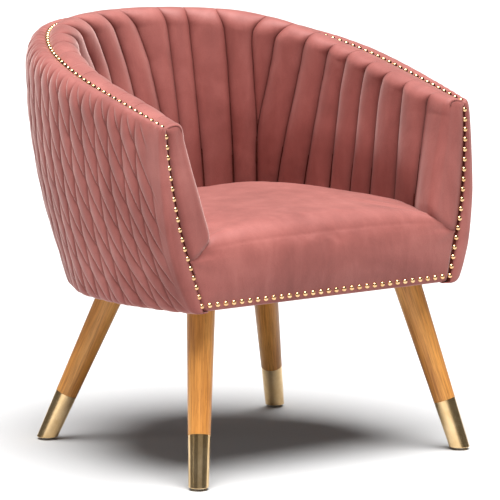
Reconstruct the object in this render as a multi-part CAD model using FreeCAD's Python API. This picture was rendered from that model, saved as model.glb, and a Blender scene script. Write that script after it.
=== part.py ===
import FreeCAD, Part
import os
import math

from FreeCAD import Vector as Vec

os.makedirs("parts", exist_ok=True)

# Upholstered tub armchair on four splayed turned legs.
# Units are millimetres, +Z up. The chair faces -Y, +X is the sitter's left
# (the right-hand side seen from the front). Origin: floor centre of the
# whole chair's bounding box.

# ------------------------------------------------------------------ driving dimensions
Y_SHIFT = -78.17          # moves the working frame so the box is centred on the origin
SHELL_Z = 311.0           # underside of the upholstered tub
RIM_A = 334.8             # half width of the nail line on the rim
RIM_Y0 = -24.8            # where the arm run starts to straighten
RIM_B = 432.4             # depth of the rim's rear curve
RIM_N = 2.1047            # superellipse exponent of the rear curve
RIM_YF = -221.3           # front end of the rim
RIM_XF = 334.6            # half width at the front end
RIM_Z_KNOTS = [765.7, 760.2, 729.0, 683.6, 634.4]      # nail-line height, back centre to arm front
RIM_Z_SLOPES = [0.0, -37.4, -147.9, -188.9, -204.5]
FRONT_LEAN = 0.0965       # forward lean of the front plane, mm per mm going down
FRONT_TOP_Z = 634.0
SHOULDER_DROP = 40.0      # height of the outer shoulder roll
SHOULDER_RISE = 10.0      # swell of the shoulder above its ellipse
OUT_TOP = [31, 31, 32, 34, 37, 38.5, 38.5, 36.5, 32.5, 24, 12]        # bulge beyond the nail line
OUT_BASE = [-78, -78, -76, -68, -50, -29, -9, 10, 10, -11, -38]       # bottom edge, from the nail line
IN_SEAT = [130, 125, 103, 74, 64, 67, 71, 69, 67, 68, 75]             # inside face at seat level
CREST_IN = 48.0           # inside face of the top roll, from the nail line
COVER_T = 14.0            # quilted outside layer
PANEL_T = 9.0             # moulded shell panel
PAD_T_TOP = 22.5          # inside padding, top
PAD_T_BOTTOM = 16.0       # inside padding, bottom
GAP = 0.7                 # clearance between neighbouring layers
PAD_BOTTOM_Z = 425.0
RAIL_TOP_Z = 376.0        # top of the seat frame
RAIL_BOTTOM_Z = 314.5
RAIL_T = 34.0
SEAT_TOP_Z = 455.0
SEAT_BOTTOM_Z = 390.0
# legs
LEG_FRONT = (296.5, -265.0, -0.209, 0.264)   # foot x, y and axis slopes dx/dz, dy/dz
LEG_REAR = (266.0, 265.0, -0.326, -0.308)
LEG_R_FOOT = 18.0
LEG_R_TOP = 25.5
FERRULE_TOP = 95.5        # measured along the leg's axis from the floor
FERRULE_WALL = 1.3
GLIDE_R = 10.0
GLIDE_H = 4.0
BOLT_R = 4.0
# nail trim
NAIL_R = 5.1
NAIL_H = 3.6
NAIL_PITCH = 16.4
NAIL_POST_PITCH = 18.4
NAIL_FRONT_COUNT = 33
NAIL_LINE_POST = [(634.0, 335.0), (580.0, 333.0), (526.0, 327.5), (490.0, 322.5), (455.0, 316.5),
                  (420.0, 308.0), (386.0, 297.5), (349.0, 287.0), (323.0, 280.0), (311.0, 277.0)]


# ------------------------------------------------------------------ small helpers
def clamp(v, a, b):
    return max(a, min(b, v))


def smooth(v):
    v = clamp(v, 0.0, 1.0)
    return v * v * (3.0 - 2.0 * v)


def knots(vals, s):
    """Monotone cubic through equally spaced values on 0..1."""
    s = clamp(abs(s), 0.0, 1.0)
    n = len(vals) - 1
    h = 1.0 / n
    d = [(vals[i + 1] - vals[i]) / h for i in range(n)]
    m = [0.0] + [0.0 if d[i - 1] * d[i] <= 0 else 2 * d[i - 1] * d[i] / (d[i - 1] + d[i])
                 for i in range(1, n)] + [d[-1]]
    i = min(int(s / h), n - 1)
    t = (s - i * h) / h
    return ((2 * t**3 - 3 * t**2 + 1) * vals[i] + (t**3 - 2 * t**2 + t) * h * m[i]
            + (-2 * t**3 + 3 * t**2) * vals[i + 1] + (t**3 - t**2) * h * m[i + 1])


def rim_z(s):
    s = clamp(abs(s), 0.0, 1.0)
    v, m, h = RIM_Z_KNOTS, RIM_Z_SLOPES, 0.25
    i = min(int(s / h), 3)
    t = (s - i * h) / h
    return ((2 * t**3 - 3 * t**2 + 1) * v[i] + (t**3 - 2 * t**2 + t) * h * m[i]
            + (-2 * t**3 + 3 * t**2) * v[i + 1] + (t**3 - t**2) * h * m[i + 1])


def build_rim():
    pts = []
    for i in range(3001):
        ph = 0.5 * math.pi * i / 3000
        pts.append((RIM_A * math.sin(ph) ** (2 / RIM_N), RIM_Y0 + RIM_B * max(math.cos(ph), 0.0) ** (2 / RIM_N)))
    k = (RIM_A - RIM_XF) / (RIM_Y0 - RIM_YF) ** 2
    for i in range(1, 601):
        y = RIM_Y0 + (RIM_YF - RIM_Y0) * i / 600
        pts.append((RIM_A - k * (RIM_Y0 - y) ** 2, y))
    acc = [0.0]
    for a, b in zip(pts[:-1], pts[1:]):
        acc.append(acc[-1] + math.hypot(b[0] - a[0], b[1] - a[1]))
    return pts, acc


RIM_PTS, RIM_ACC = build_rim()
RIM_LEN = RIM_ACC[-1]     # half length of the nail line


def rim_xy(s):
    """Plan point of the nail line, s = 0 at the back centre, 1 at the arm front."""
    d = clamp(abs(s), 0.0, 1.0) * RIM_LEN
    lo, hi = 0, len(RIM_ACC) - 1
    while hi - lo > 1:
        mid = (lo + hi) // 2
        if RIM_ACC[mid] <= d:
            lo = mid
        else:
            hi = mid
    f = (d - RIM_ACC[lo]) / max(RIM_ACC[hi] - RIM_ACC[lo], 1e-9)
    a, b = RIM_PTS[lo], RIM_PTS[hi]
    return a[0] + f * (b[0] - a[0]), a[1] + f * (b[1] - a[1])


def rim_normal(s):
    a = abs(s)
    if a < 0.004:
        return 0.0, 1.0
    e = 0.012
    x0, y0 = rim_xy(a - e) if a > e else (-rim_xy(e - a)[0], rim_xy(e - a)[1])
    x1, y1 = rim_xy(min(a + e, 1.0))
    tx, ty = x1 - x0, y1 - y0
    n = math.hypot(tx, ty)
    return -ty / n, tx / n


def at(s, off, z):
    """Point of the tub: off = outward distance from the nail line, in plan."""
    x, y = rim_xy(s)
    nx, ny = rim_normal(s)
    w = smooth((abs(s) - 0.55) / 0.45) * FRONT_LEAN
    sg = -1.0 if s < 0 else 1.0
    return Vec(sg * (x + nx * off), y + ny * off - w * (rim_z(s) - z) + Y_SHIFT, z)


def out_off(s, z):
    """Outside surface below the shoulder."""
    top, base = knots(OUT_TOP, s), knots(OUT_BASE, s)
    p = 2.1 + 1.1 * smooth((abs(s) - 0.8) / 0.2)
    t = clamp((z - SHELL_Z) / (rim_z(s) - SHOULDER_DROP - SHELL_Z), 0.0, 1.0)
    return top - (top - base) * (1 - t) ** p


def in_off(s, z):
    """Inside surface below the top roll (negative: inward)."""
    zc = rim_z(s) - 20.0
    f = clamp((zc - z) / (zc - 440.0), 0.0, 1.0)
    return -(CREST_IN + (knots(IN_SEAT, s) - CREST_IN) * f)


def pad_t(s, z):
    zc = rim_z(s) - 20.0
    return PAD_T_TOP + (PAD_T_BOTTOM - PAD_T_TOP) * clamp((zc - z) / (zc - 440.0), 0.0, 1.0)


def post_x(z):
    """Half width of the nail line down the arm front."""
    pts = NAIL_LINE_POST
    if z >= pts[0][0]:
        return pts[0][1]
    for (z0, x0), (z1, x1) in zip(pts[:-1], pts[1:]):
        if z1 <= z <= z0:
            return x0 + (x1 - x0) * (z0 - z) / (z0 - z1)
    return pts[-1][1]


def cover_t(s, z):
    w = smooth((abs(s) - 0.93) / 0.07)
    end = RIM_XF + out_off(1.0, z) - post_x(z) - 4.0
    return COVER_T * (1 - w) + max(end, 6.0) * w


def panel_in(s, z):
    return out_off(s, z) - cover_t(s, z) - GAP - PANEL_T - GAP


def front_y(z):
    return RIM_YF - FRONT_LEAN * (FRONT_TOP_Z - z) + Y_SHIFT


def curve(pts):
    if len(pts) == 2:
        return Part.LineSegment(pts[0], pts[1]).toShape()
    b = Part.BSplineCurve()
    b.interpolate(pts)
    return b.toShape()


def loft(stations, profile):
    """Solid through the profile's closed sections at the given stations."""
    wires = []
    for s in stations:
        edges = [curve([at(s, o, z) for o, z in seg]) for seg in profile(s)]
        wires.append(Part.Wire(edges))
    shape = Part.makeLoft(wires, True, False)
    if not shape.isValid() or shape.Volume < 0:
        shape.fix(0.01, 0.01, 0.01)
    if shape.Volume < 0:
        shape.reverse()
    return shape


def spread(a, b, n):
    return [a + (b - a) * i / (n - 1) for i in range(n)]


NODES = {}


def keep(name, shapes):
    if not isinstance(shapes, list):
        shapes = [shapes]
    sol = []
    for sh in shapes:
        sol += sh.Solids
    NODES[name] = sol
    body = sol[0] if len(sol) == 1 else Part.makeCompound(sol)
    body.exportStep("parts/%s.step" % name)
    print("%-26s solids %3d  vol %10.0f  valid %s" % (name, len(sol), sum(q.Volume for q in sol),
                                                     all(q.isValid() for q in sol)))


def cyl(p, d, r, h):
    return Part.makeCylinder(r, h, p, d)


# ------------------------------------------------------------------ legs, ferrules, glides, bolts
def leg_axis(spec, sx):
    x, y, kx, ky = spec
    foot = Vec(sx * x, y + Y_SHIFT, 0)
    d = Vec(sx * kx, ky, 1.0)
    ln = d.Length
    return foot, d.normalize(), SHELL_Z * ln


BIG = 2000.0


def below(z):
    return Part.makeBox(BIG, BIG, BIG, Vec(-BIG / 2, -BIG / 2, z - BIG))


def above(z):
    return Part.makeBox(BIG, BIG, BIG, Vec(-BIG / 2, -BIG / 2, z))


bolts, inserts = [], []
leg_specs = [("front_left", LEG_FRONT, 1), ("front_right", LEG_FRONT, -1),
             ("rear_left", LEG_REAR, 1), ("rear_right", LEG_REAR, -1)]
BOLT_LINES = []
for name, spec, sx in leg_specs:
    foot, d, length = leg_axis(spec, sx)
    slope = (LEG_R_TOP - LEG_R_FOOT) / length

    def rad(t):
        return LEG_R_FOOT + slope * t

    t0, t1, t2 = -20.0, FERRULE_TOP, length + 30.0
    upper = Part.makeCone(rad(t1 + 0.3), rad(t2), t2 - t1 - 0.3, foot + d * (t1 + 0.3), d)
    tenon = Part.makeCone(rad(t0) - FERRULE_WALL - 0.1, rad(t1 + 1) - FERRULE_WALL - 0.1, t1 + 1 - t0,
                          foot + d * t0, d)
    leg = upper.fuse(tenon).removeSplitter()
    leg = leg.cut(below(GLIDE_H + 2.0)).cut(above(SHELL_Z + 0.4))
    hole = cyl(foot + d * (length - 42), d, BOLT_R + 0.1, 60)
    gx = foot + Vec(sx * spec[2] * GLIDE_H, spec[3] * GLIDE_H, 0)
    pin_hole = cyl(gx + Vec(0, 0, 3), Vec(0, 0, 1), 1.45, 20)
    leg = leg.cut(hole).cut(pin_hole)
    keep("leg_" + name, leg)

    outer = Part.makeCone(rad(t0), rad(t1), t1 - t0, foot + d * t0, d).cut(below(GLIDE_H + 0.1))
    inner = Part.makeCone(rad(t0) - FERRULE_WALL, rad(t1 + 1) - FERRULE_WALL, t1 + 1 - t0,
                          foot + d * t0, d).cut(below(GLIDE_H + 1.8))
    ferrule = outer.cut(inner).cut(cyl(gx, Vec(0, 0, 1), 1.6, 12))
    low = [e for e in ferrule.Edges if abs(e.BoundBox.ZMax - GLIDE_H - 0.1) < 0.01 and e.Length > 60]
    try:
        soft = ferrule.makeFillet(1.0, low)
        if soft.isValid() and soft.Volume > 0:
            ferrule = soft
    except Exception:
        pass
    keep("ferrule_" + name, ferrule)

    prof = Part.Wire([Part.LineSegment(Vec(0, 0, 0), Vec(GLIDE_R - 1.4, 0, 0)).toShape(),
                      Part.Arc(Vec(GLIDE_R - 1.4, 0, 0), Vec(GLIDE_R - 0.4, 0, 0.42), Vec(GLIDE_R, 0, 1.4)).toShape(),
                      Part.LineSegment(Vec(GLIDE_R, 0, 1.4), Vec(GLIDE_R - 0.6, 0, GLIDE_H)).toShape(),
                      Part.LineSegment(Vec(GLIDE_R - 0.6, 0, GLIDE_H), Vec(1.4, 0, GLIDE_H)).toShape(),
                      Part.LineSegment(Vec(1.4, 0, GLIDE_H), Vec(1.4, 0, GLIDE_H + 15)).toShape(),
                      Part.LineSegment(Vec(1.4, 0, GLIDE_H + 15), Vec(0, 0, GLIDE_H + 18)).toShape(),
                      Part.LineSegment(Vec(0, 0, GLIDE_H + 18), Vec(0, 0, 0)).toShape()])
    glide = Part.Face(prof).revolve(Vec(0, 0, 0), Vec(0, 0, 1), 360)
    glide.translate(gx)
    keep("glide_" + name, glide)

    bolts.append(cyl(foot + d * (length - 38), d, BOLT_R, 74))
    sleeve = cyl(foot + d * (length - 5), d, 6.0, 36).cut(below(RAIL_BOTTOM_Z))
    inserts.append(sleeve.cut(cyl(foot + d * (length - 20), d, BOLT_R + 0.1, 80)))
    BOLT_LINES.append((foot, d, length))

keep("hanger_bolts", bolts)
keep("threaded_inserts", inserts)

# ------------------------------------------------------------------ seat frame
def rail_prof(s):
    zb, zt = RAIL_BOTTOM_Z, RAIL_TOP_Z
    ob, ot = panel_in(s, zb) - 0.8, panel_in(s, zt) - 0.8
    return [[(ob, zb), (ot, zt)], [(ot, zt), (ot - RAIL_T, zt)],
            [(ot - RAIL_T, zt), (ob - RAIL_T, zb)], [(ob - RAIL_T, zb), (ob, zb)]]


REAR_END = 0.335
POST_BACK = 0.943
PANEL_FRONT = 0.93
front_rail_y = front_y(RAIL_TOP_Z) + 18.9
SCREW_R, SCREW_HEAD_R = 2.2, 4.2
screw_lines = []          # start point, direction; the head sits on the start point's side
for sg in (1, -1):
    for zz in (328.0, 350.0):
        for xx in (196.0, 244.0):
            screw_lines.append((Vec(sg * xx, front_rail_y, zz), Vec(0, 1, 0)))
        n = rim_normal(0.45)
        q = at(sg * 0.45, panel_in(0.45, zz) - 5.0, zz)
        screw_lines.append((q, Vec(-sg * n[0], -n[1], 0)))
        q = at(sg * 0.905, panel_in(0.905, zz) - 5.0, zz)
        screw_lines.append((q, Vec(-sg, 0, 0)))


def drill(shape):
    """Clearance holes and countersinks for the frame screws."""
    for p, d in screw_lines:
        r0, r1 = SCREW_R + 0.1, SCREW_HEAD_R + 0.3
        prof = Part.makePolygon([Vec(0, 0, -12), Vec(r1, 0, -12), Vec(r1, 0, 0.5), Vec(r0, 0, 3.4), Vec(r0, 0, 62),
                                 Vec(0, 0, 62), Vec(0, 0, -12)])
        tool = Part.Face(prof).revolve(Vec(0, 0, 0), Vec(0, 0, 1), 360)
        tool.Placement = FreeCAD.Placement(p, FreeCAD.Rotation(Vec(0, 0, 1), d))
        bb = tool.BoundBox
        if bb.intersect(shape.BoundBox):
            cut = shape.cut(tool)
            if cut.Volume < shape.Volume - 1:
                shape = cut
    return shape


keep("seat_rail_rear", drill(loft(spread(-REAR_END, REAR_END, 15), rail_prof)))
side_line = spread(0.36, 0.93, 16)
keep("seat_rail_left", drill(loft([REAR_END + 0.001] + side_line + [POST_BACK], rail_prof)))
keep("seat_rail_right", drill(loft([-q for q in [REAR_END + 0.001] + side_line + [POST_BACK]], rail_prof)))
keep("seat_rail_front", drill(Part.makeBox(2 * 259.0, 21.0, RAIL_TOP_Z - RAIL_BOTTOM_Z,
                                           Vec(-259.0, front_rail_y, RAIL_BOTTOM_Z))))
screws = []
for p, d in screw_lines:
    shank = cyl(p + d * 3.2, d, SCREW_R, 56.0 - 3.2)
    head = Part.makeCone(SCREW_HEAD_R, SCREW_R, 2.8, p + d * 0.5, d)
    screws.append(head.fuse(shank).removeSplitter())
keep("frame_screws", screws)


def plan_face(off_at, z, a=-1.0, b=1.0, n=61, front=None):
    """Flat face bounded by the curve at(s, off) and a straight front edge."""
    pts = [at(s, off_at(s), z) for s in spread(a, b, n)]
    edges = [curve(pts), Part.LineSegment(pts[-1], pts[0]).toShape()]
    return Part.Face(Part.Wire(edges))


inner_region = plan_face(lambda s: panel_in(s, RAIL_BOTTOM_Z) - RAIL_T - 9.0, RAIL_BOTTOM_Z,
                         -0.955, 0.955).extrude(Vec(0, 0, 46))
for name, x0, x1, y0, y1 in [("front_left", 172.0, 262.0, -205.5, -118.0), ("front_right", -262.0, -172.0, -205.5, -118.0),
                             ("rear_left", 112.0, 205.0, 118.0, 235.0), ("rear_right", -205.0, -112.0, 118.0, 235.0)]:
    block = Part.makeBox(x1 - x0, y1 - y0, 44.0, Vec(x0, y0 + Y_SHIFT, RAIL_BOTTOM_Z)).common(inner_region)
    for foot, d, length in BOLT_LINES:
        block = block.cut(cyl(foot + d * (length - 10), d, 6.1, 90))
    keep("corner_block_" + name, drill(block))

# ------------------------------------------------------------------ shell panels, ribs, arm boards, top rail
def panel_prof(s):
    zb, zt = SHELL_Z + 3.0, rim_z(s) - 61.5
    zs = spread(zb, zt, 7)
    o = [(out_off(s, z) - cover_t(s, z) - GAP, z) for z in zs]
    i = [(a - PANEL_T, z) for a, z in o]
    return [o, [o[-1], i[-1]], i[::-1], [i[0], o[0]]]


PANEL_END = 0.36
panel_line = [PANEL_END + 0.0015] + side_line[1:]
keep("shell_panel_back", loft(spread(-PANEL_END, PANEL_END, 15), panel_prof))
keep("shell_panel_left", loft(panel_line, panel_prof))
keep("shell_panel_right", loft([-q for q in panel_line], panel_prof))


def rail_out(s):
    return min(8.0, knots(OUT_TOP, s) - cover_t(s, rim_z(s) - 30) - 4.0)


def top_prof(s):
    zn = rim_z(s)
    o, i = rail_out(s), -23.6
    z0, z1 = zn - 60.5, zn - 20.5
    return [[(o, z0), (o, z1)], [(o, z1), (i, z1)], [(i, z1), (i, z0)], [(i, z0), (o, z0)]]


keep("top_rail_back", loft(spread(-PANEL_END, PANEL_END, 13), top_prof))
keep("top_rail_left", loft(spread(PANEL_END + 0.0015, POST_BACK, 11), top_prof))
keep("top_rail_right", loft(spread(-PANEL_END - 0.0015, -POST_BACK, 11), top_prof))


def pad_back(s, z):
    """Back face of the inside padding: a straight line up to the step under the roll."""
    b, k = PAD_BOTTOM_Z, rim_z(s) - 60.9
    o0, o1 = in_off(s, b) + pad_t(s, b), in_off(s, k) + pad_t(s, k)
    return o0 + (o1 - o0) * (z - b) / (k - b)


def rib(s, width):
    """Plywood rib across the hollow wall, cut to the panel and padding on its two long edges."""
    def prof(q):
        zb, zt = RAIL_TOP_Z + 0.3, rim_z(q) - 61.8
        zs = spread(zb, zt, 7)
        o = [(panel_in(q, z), z) for z in zs]
        i = [(pad_back(q, z) + 1.2, z) for z in (PAD_BOTTOM_Z - 4.0, zt)]
        heel = (panel_in(q, RAIL_TOP_Z) - 15.0, zb)
        step = (heel[0], zb + 14.0)
        return [o, [o[-1], i[-1]], i[::-1], [i[0], step], [step, heel], [heel, o[0]]]
    h = 0.5 * width / RIM_LEN
    return loft([s - h, s, s + h] if abs(s) > h else [-h, -h / 2, h / 2, h], prof)


keep("back_rib_center", rib(0.0, 18.0))
keep("back_rib_left", rib(0.16, 18.0))
keep("back_rib_right", rib(-0.16, 18.0))
keep("side_rib_left", rib(0.6, 18.0))
keep("side_rib_right", rib(-0.6, 18.0))
keep("arm_rib_left", rib(0.78, 18.0))
keep("arm_rib_right", rib(-0.78, 18.0))


def lean_prism(outline, y_near, thick):
    """Upright plate whose outline (x, z) is extruded back from the leaning front plane."""
    wires = []
    for dy in (y_near, y_near + thick):
        pts = [Vec(x, front_y(z) + dy, z) for x, z in outline]
        wires.append(Part.makePolygon(pts + [pts[0]]))
    return Part.makeLoft(wires, True, True)


POST_Y0, POST_T = 18.8, 19.0
zs = [612.0, 580.0, 526.0, 490.0, 455.0, 426.0]
board_out = [(post_x(z) + 3.3, z) for z in (612.0, 580.0, 526.0, 490.0, 455.0, 420.0, 386.0, 349.0, 316.0)]
board_in = [(262.0, 316.0), (262.0, 382.0), (270.5, 386.0), (270.5, 424.0)]
for z in (427.0, 455.0, 490.0, 526.0, 573.0):
    board_in.append((RIM_XF + pad_back(0.965, z) + 1.6, z))
board_in += [(RIM_XF - 23.2, 575.0), (RIM_XF - 23.2, 612.0)]
board = board_out + board_in
keep("arm_board_left", lean_prism(board, POST_Y0, POST_T))
keep("arm_board_right", lean_prism([(-x, z) for x, z in board], POST_Y0, POST_T))

# ------------------------------------------------------------------ seat suspension
WIRE_R = 1.9
SPRING_Z = RAIL_TOP_Z + 4.4
springs, clips = [], []
for x in (-168.0, -84.0, 0.0, 84.0, 168.0):
    y_a = front_rail_y + 10.0
    s_hit = 0.0
    y_b = at(0.0, panel_in(0.0, RAIL_TOP_Z) - RAIL_T / 2, 0).y
    best = None
    for q in spread(0.0, 0.6, 241):
        p = at(q, panel_in(q, RAIL_TOP_Z) - RAIL_T + 8.0, 0)
        if best is None or abs(p.x - abs(x)) < best[0]:
            best = (abs(p.x - abs(x)), p.y)
    y_b = best[1]
    step = 15.0
    count = int((y_b - y_a) / step)
    step = (y_b - y_a) / count
    r, half = step / 2.0, 16.0
    edges = []
    for i in range(count + 1):
        y = y_a + i * step
        sgn = 1 if i % 2 == 0 else -1
        edges.append(Part.LineSegment(Vec(x - sgn * half, y, SPRING_Z), Vec(x + sgn * half, y, SPRING_Z)).toShape())
        if i < count:
            edges.append(Part.Arc(Vec(x + sgn * half, y, SPRING_Z), Vec(x + sgn * (half + r), y + r, SPRING_Z),
                                  Vec(x + sgn * half, y + step, SPRING_Z)).toShape())
    path = Part.Wire(edges)
    ring = Part.Wire([Part.Circle(Vec(x - half, y_a, SPRING_Z), Vec(1, 0, 0), WIRE_R).toShape()])
    springs.append(path.makePipeShell([ring], True, False))
    for yc, sg in ((y_a, 1), (y_b, -1)):
        b, tck = WIRE_R + 0.3, 1.2
        pts = [(-b - tck, -b - tck), (9.0, -b - tck), (9.0, -b), (-b, -b), (-b, b), (5.0, b), (5.0, b + tck), (-b - tck, b + tck)]
        poly = [Vec(x - 8.0, yc + sg * u, SPRING_Z + v) for u, v in pts]
        clips.append(Part.Face(Part.makePolygon(poly + [poly[0]])).extrude(Vec(16, 0, 0)))
keep("seat_springs", springs)
keep("spring_clips", clips)

keep("spring_insulator_pad", plan_face(lambda s: -knots(IN_SEAT, s) - 4.0, 386.6, -0.975, 0.975).extrude(Vec(0, 0, 3.0)))

# ------------------------------------------------------------------ upholstery (plain soft solids)
def seat_off(s):
    return -knots(IN_SEAT, s) - 0.8


seat_core = plan_face(seat_off, SEAT_BOTTOM_Z, -0.968, 0.968).extrude(Vec(0, 0, SEAT_TOP_Z - SEAT_BOTTOM_Z))
top_edges = [e for e in seat_core.Edges if abs(e.BoundBox.ZMin - SEAT_TOP_Z) < 0.01]
try:
    r_seat = seat_core.makeFillet(14.0, top_edges)
    if r_seat.isValid():
        seat_core = r_seat
except Exception:
    pass
keep("seat_cushion", seat_core)

SEAM = [(299.0, 402.0), (281.0, 411.0), (263.0, 427.0), (251.0, 443.0)]
half = [(273.5, 312.5)] + [(post_x(z) - 3.0, z) for z in (323.0, 349.0, 386.0)] + SEAM + [(250.0, 452.0)]
outline = half + [(-x, z) for x, z in half[::-1]]
front_pad = lean_prism(outline, 0.0, 18.2)
keep("seat_front_pad", front_pad)

arm_out = [(327.0, 637.0), (331.0, 631.0)] + [(post_x(z) - 3.0, z) for z in (580.0, 526.0, 490.0, 455.0, 420.0, 405.0)]
arm_seam = [(299.4, 402.9), (281.6, 411.9), (263.9, 427.8), (252.2, 443.8)]
arm_in = [(253.0, 452.0), (262.0, 480.0), (272.0, 520.0), (284.0, 560.0), (293.0, 595.0), (299.5, 618.0), (305.0, 632.0), (315.0, 638.5)]
arm_outline = arm_out[:-1] + arm_seam + arm_in
keep("arm_front_pad_left", lean_prism(arm_outline, 0.0, 17.8))
keep("arm_front_pad_right", lean_prism([(-x, z) for x, z in arm_outline], 0.0, 17.8))


ROLL_BACK = [(-3.0, -1.0), (-9.0, 6.6), (-16.5, 11.0), (-24.0, 12.0), (-33.0, 9.0), (-41.0, 1.5), (-46.0, -9.0)]
ROLL_ARM = [(-3.0, -1.0), (-9.0, 1.9), (-17.0, 3.9), (-26.0, 4.8), (-35.0, 3.9), (-42.5, 0.0), (-46.5, -9.0)]


def pad_prof(s):
    zn = rim_z(s)
    w = smooth((abs(s) - 0.40) / 0.22)           # a full roll on the back, a flatter one on the arms
    roll = [(a + (c - a) * w, zn + b + (d - b) * w) for (a, b), (c, d) in zip(ROLL_BACK, ROLL_ARM)]
    roll.append((in_off(s, zn - 20) - 0.2, zn - 21.0))
    inside = roll[-1:] + [(in_off(s, z), z) for z in spread(zn - 70.0, PAD_BOTTOM_Z, 4)]
    b = PAD_BOTTOM_Z
    ob = in_off(s, b) + pad_t(s, b)
    ot = -24.6
    zk = zn - 60.9
    back = [(ob, b), (in_off(s, zk) + pad_t(s, zk), zk)]
    return [roll, inside, [inside[-1], back[0]], back, [back[1], (ot, zk + 0.3)], [(ot, zk + 0.3), (ot, zn - 19.8)],
            [(ot, zn - 19.8), (-3.0, zn - 19.8)], [(-3.0, zn - 19.8), (-3.0, zn - 1.0)]]


keep("inner_back_pad", loft(spread(-0.9765, 0.9765, 41), pad_prof))


def cover_prof(s):
    zn = rim_z(s)
    top = knots(OUT_TOP, s)
    outer = []
    for i in range(7):
        a = 0.5 * math.pi * i / 6
        outer.append((3.0 + (top - 3.0) * math.sin(a), zn - 0.6 - (SHOULDER_DROP - 0.6) * (1 - math.cos(a))
                      + SHOULDER_RISE * math.sin(2 * a)))
    zt = zn - SHOULDER_DROP
    wall = [(out_off(s, z), z) for z in spread(zt, SHELL_Z + 0.2, 8)]
    ob = out_off(s, SHELL_Z) - cover_t(s, SHELL_Z)
    inner = [(out_off(s, z) - cover_t(s, z), z) for z in spread(SHELL_Z + 0.2, zt - 6, 8)]
    it = inner[-1][0]
    tip = [inner[-1], (3.0 + (it - 3.0) * 0.93, zn - 32.0), (3.0 + (it - 3.0) * 0.62, zn - 22.0), (3.0, zn - 15.5)]
    return [outer, wall, [wall[-1], inner[0]], inner, tip, [tip[-1], outer[0]]]


cover_stations = spread(0.0, 0.88, 20) + [0.905, 0.93, 0.9475, 0.965, 0.9825, 1.0]
cover_stations = [-s for s in cover_stations[:0:-1]] + cover_stations
keep("outer_quilted_cover", loft(cover_stations, cover_prof))

dust = plan_face(lambda s: out_off(s, SHELL_Z) - cover_t(s, SHELL_Z) - GAP, SHELL_Z + 0.8, -0.972, 0.972).extrude(Vec(0, 0, 1.0))
for foot, d, length in BOLT_LINES:
    dust = dust.cut(cyl(foot + d * (length - 10), d, 6.5, 30))
keep("dust_cover", dust)

# ------------------------------------------------------------------ nail trim
arc = Part.Arc(Vec(0, 0, NAIL_H), Vec(NAIL_R * 0.72, 0, NAIL_H * 0.70), Vec(NAIL_R, 0, 0)).toShape()
nail_wire = Part.Wire([arc, Part.LineSegment(Vec(NAIL_R, 0, 0), Vec(0.9, 0, 0)).toShape(),
                       Part.LineSegment(Vec(0.9, 0, 0), Vec(0.9, 0, -24.0)).toShape(),
                       Part.LineSegment(Vec(0.9, 0, -24.0), Vec(0, 0, -27.0)).toShape(),
                       Part.LineSegment(Vec(0, 0, -27.0), Vec(0, 0, NAIL_H)).toShape()])
NAIL = Part.Face(nail_wire).revolve(Vec(0, 0, 0), Vec(0, 0, 1), 360)


def nail(p, direction):
    n = NAIL.copy()
    n.Placement = FreeCAD.Placement(p, FreeCAD.Rotation(Vec(0, 0, 1), direction))
    return n


rim_nails = []
n_half = int(round((RIM_LEN - 6.0) / NAIL_PITCH))
for i in range(-n_half, n_half + 1):
    s = i / float(n_half) * (1.0 - 10.0 / RIM_LEN)
    nx, ny = rim_normal(s)
    sg = -1.0 if s < 0 else 1.0
    d = Vec(sg * nx * 0.12, ny * 0.12, 1.0).normalize()
    rim_nails.append(nail(at(s, 0.0, rim_z(s) + 1.5), d))
keep("nail_trim_rim", rim_nails)
front_dir = Vec(0, -1.0, FRONT_LEAN).normalize()
for side, sg in (("left", 1), ("right", -1)):
    line, z = [], 622.0
    while z > 328.0:
        line.append(nail(Vec(sg * post_x(z), front_y(z) - 0.5, z), front_dir))
        z -= NAIL_POST_PITCH * (0.985 if z > 460 else 0.93)
    keep("nail_trim_post_" + side, line)
row = []
x_end = post_x(323.0) - 0.5
for i in range(NAIL_FRONT_COUNT):
    x = -x_end + 2 * x_end * i / (NAIL_FRONT_COUNT - 1)
    row.append(nail(Vec(x, front_y(322.5) - 0.5, 322.5), front_dir))
keep("nail_trim_seat_front", row)

box = None
for sol in NODES.values():
    for q in sol:
        bb = q.BoundBox
        box = bb if box is None else box.united(bb)
print("BOX x %.2f %.2f y %.2f %.2f z %.2f %.2f" % (box.XMin, box.XMax, box.YMin, box.YMax, box.ZMin, box.ZMax))
print("nodes", len(NODES))
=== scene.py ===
import math

import bmesh
import bpy
import numpy as np
from mathutils import Matrix, Vector


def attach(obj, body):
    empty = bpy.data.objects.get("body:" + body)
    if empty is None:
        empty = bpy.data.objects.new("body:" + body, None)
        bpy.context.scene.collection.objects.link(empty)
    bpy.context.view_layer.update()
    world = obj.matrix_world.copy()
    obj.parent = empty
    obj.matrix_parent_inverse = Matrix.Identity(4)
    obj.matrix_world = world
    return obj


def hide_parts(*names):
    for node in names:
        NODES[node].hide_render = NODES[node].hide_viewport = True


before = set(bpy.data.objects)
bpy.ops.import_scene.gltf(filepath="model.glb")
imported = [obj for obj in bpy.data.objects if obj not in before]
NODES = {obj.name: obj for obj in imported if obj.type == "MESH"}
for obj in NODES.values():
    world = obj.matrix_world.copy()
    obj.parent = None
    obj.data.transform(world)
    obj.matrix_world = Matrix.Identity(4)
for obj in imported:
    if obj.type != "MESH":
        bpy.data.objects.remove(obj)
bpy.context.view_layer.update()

# ------------------------------------------------------------------ the camera comes first
cam_data = bpy.data.cameras.new("camera")
cam_data.sensor_width = 36.0
cam_data.lens = 290.63
cam_data.clip_end = 200.0
cam = bpy.data.objects.new("camera", cam_data)
bpy.context.scene.collection.objects.link(cam)
cam.matrix_world = Matrix(((0.80533, 0.09239, -0.58559, -4.3342),
                           (-0.59283, 0.12551, -0.79549, -5.9806),
                           (0.0, 0.98779, 0.15585, 1.5197),
                           (0.0, 0.0, 0.0, 1.0)))
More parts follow.
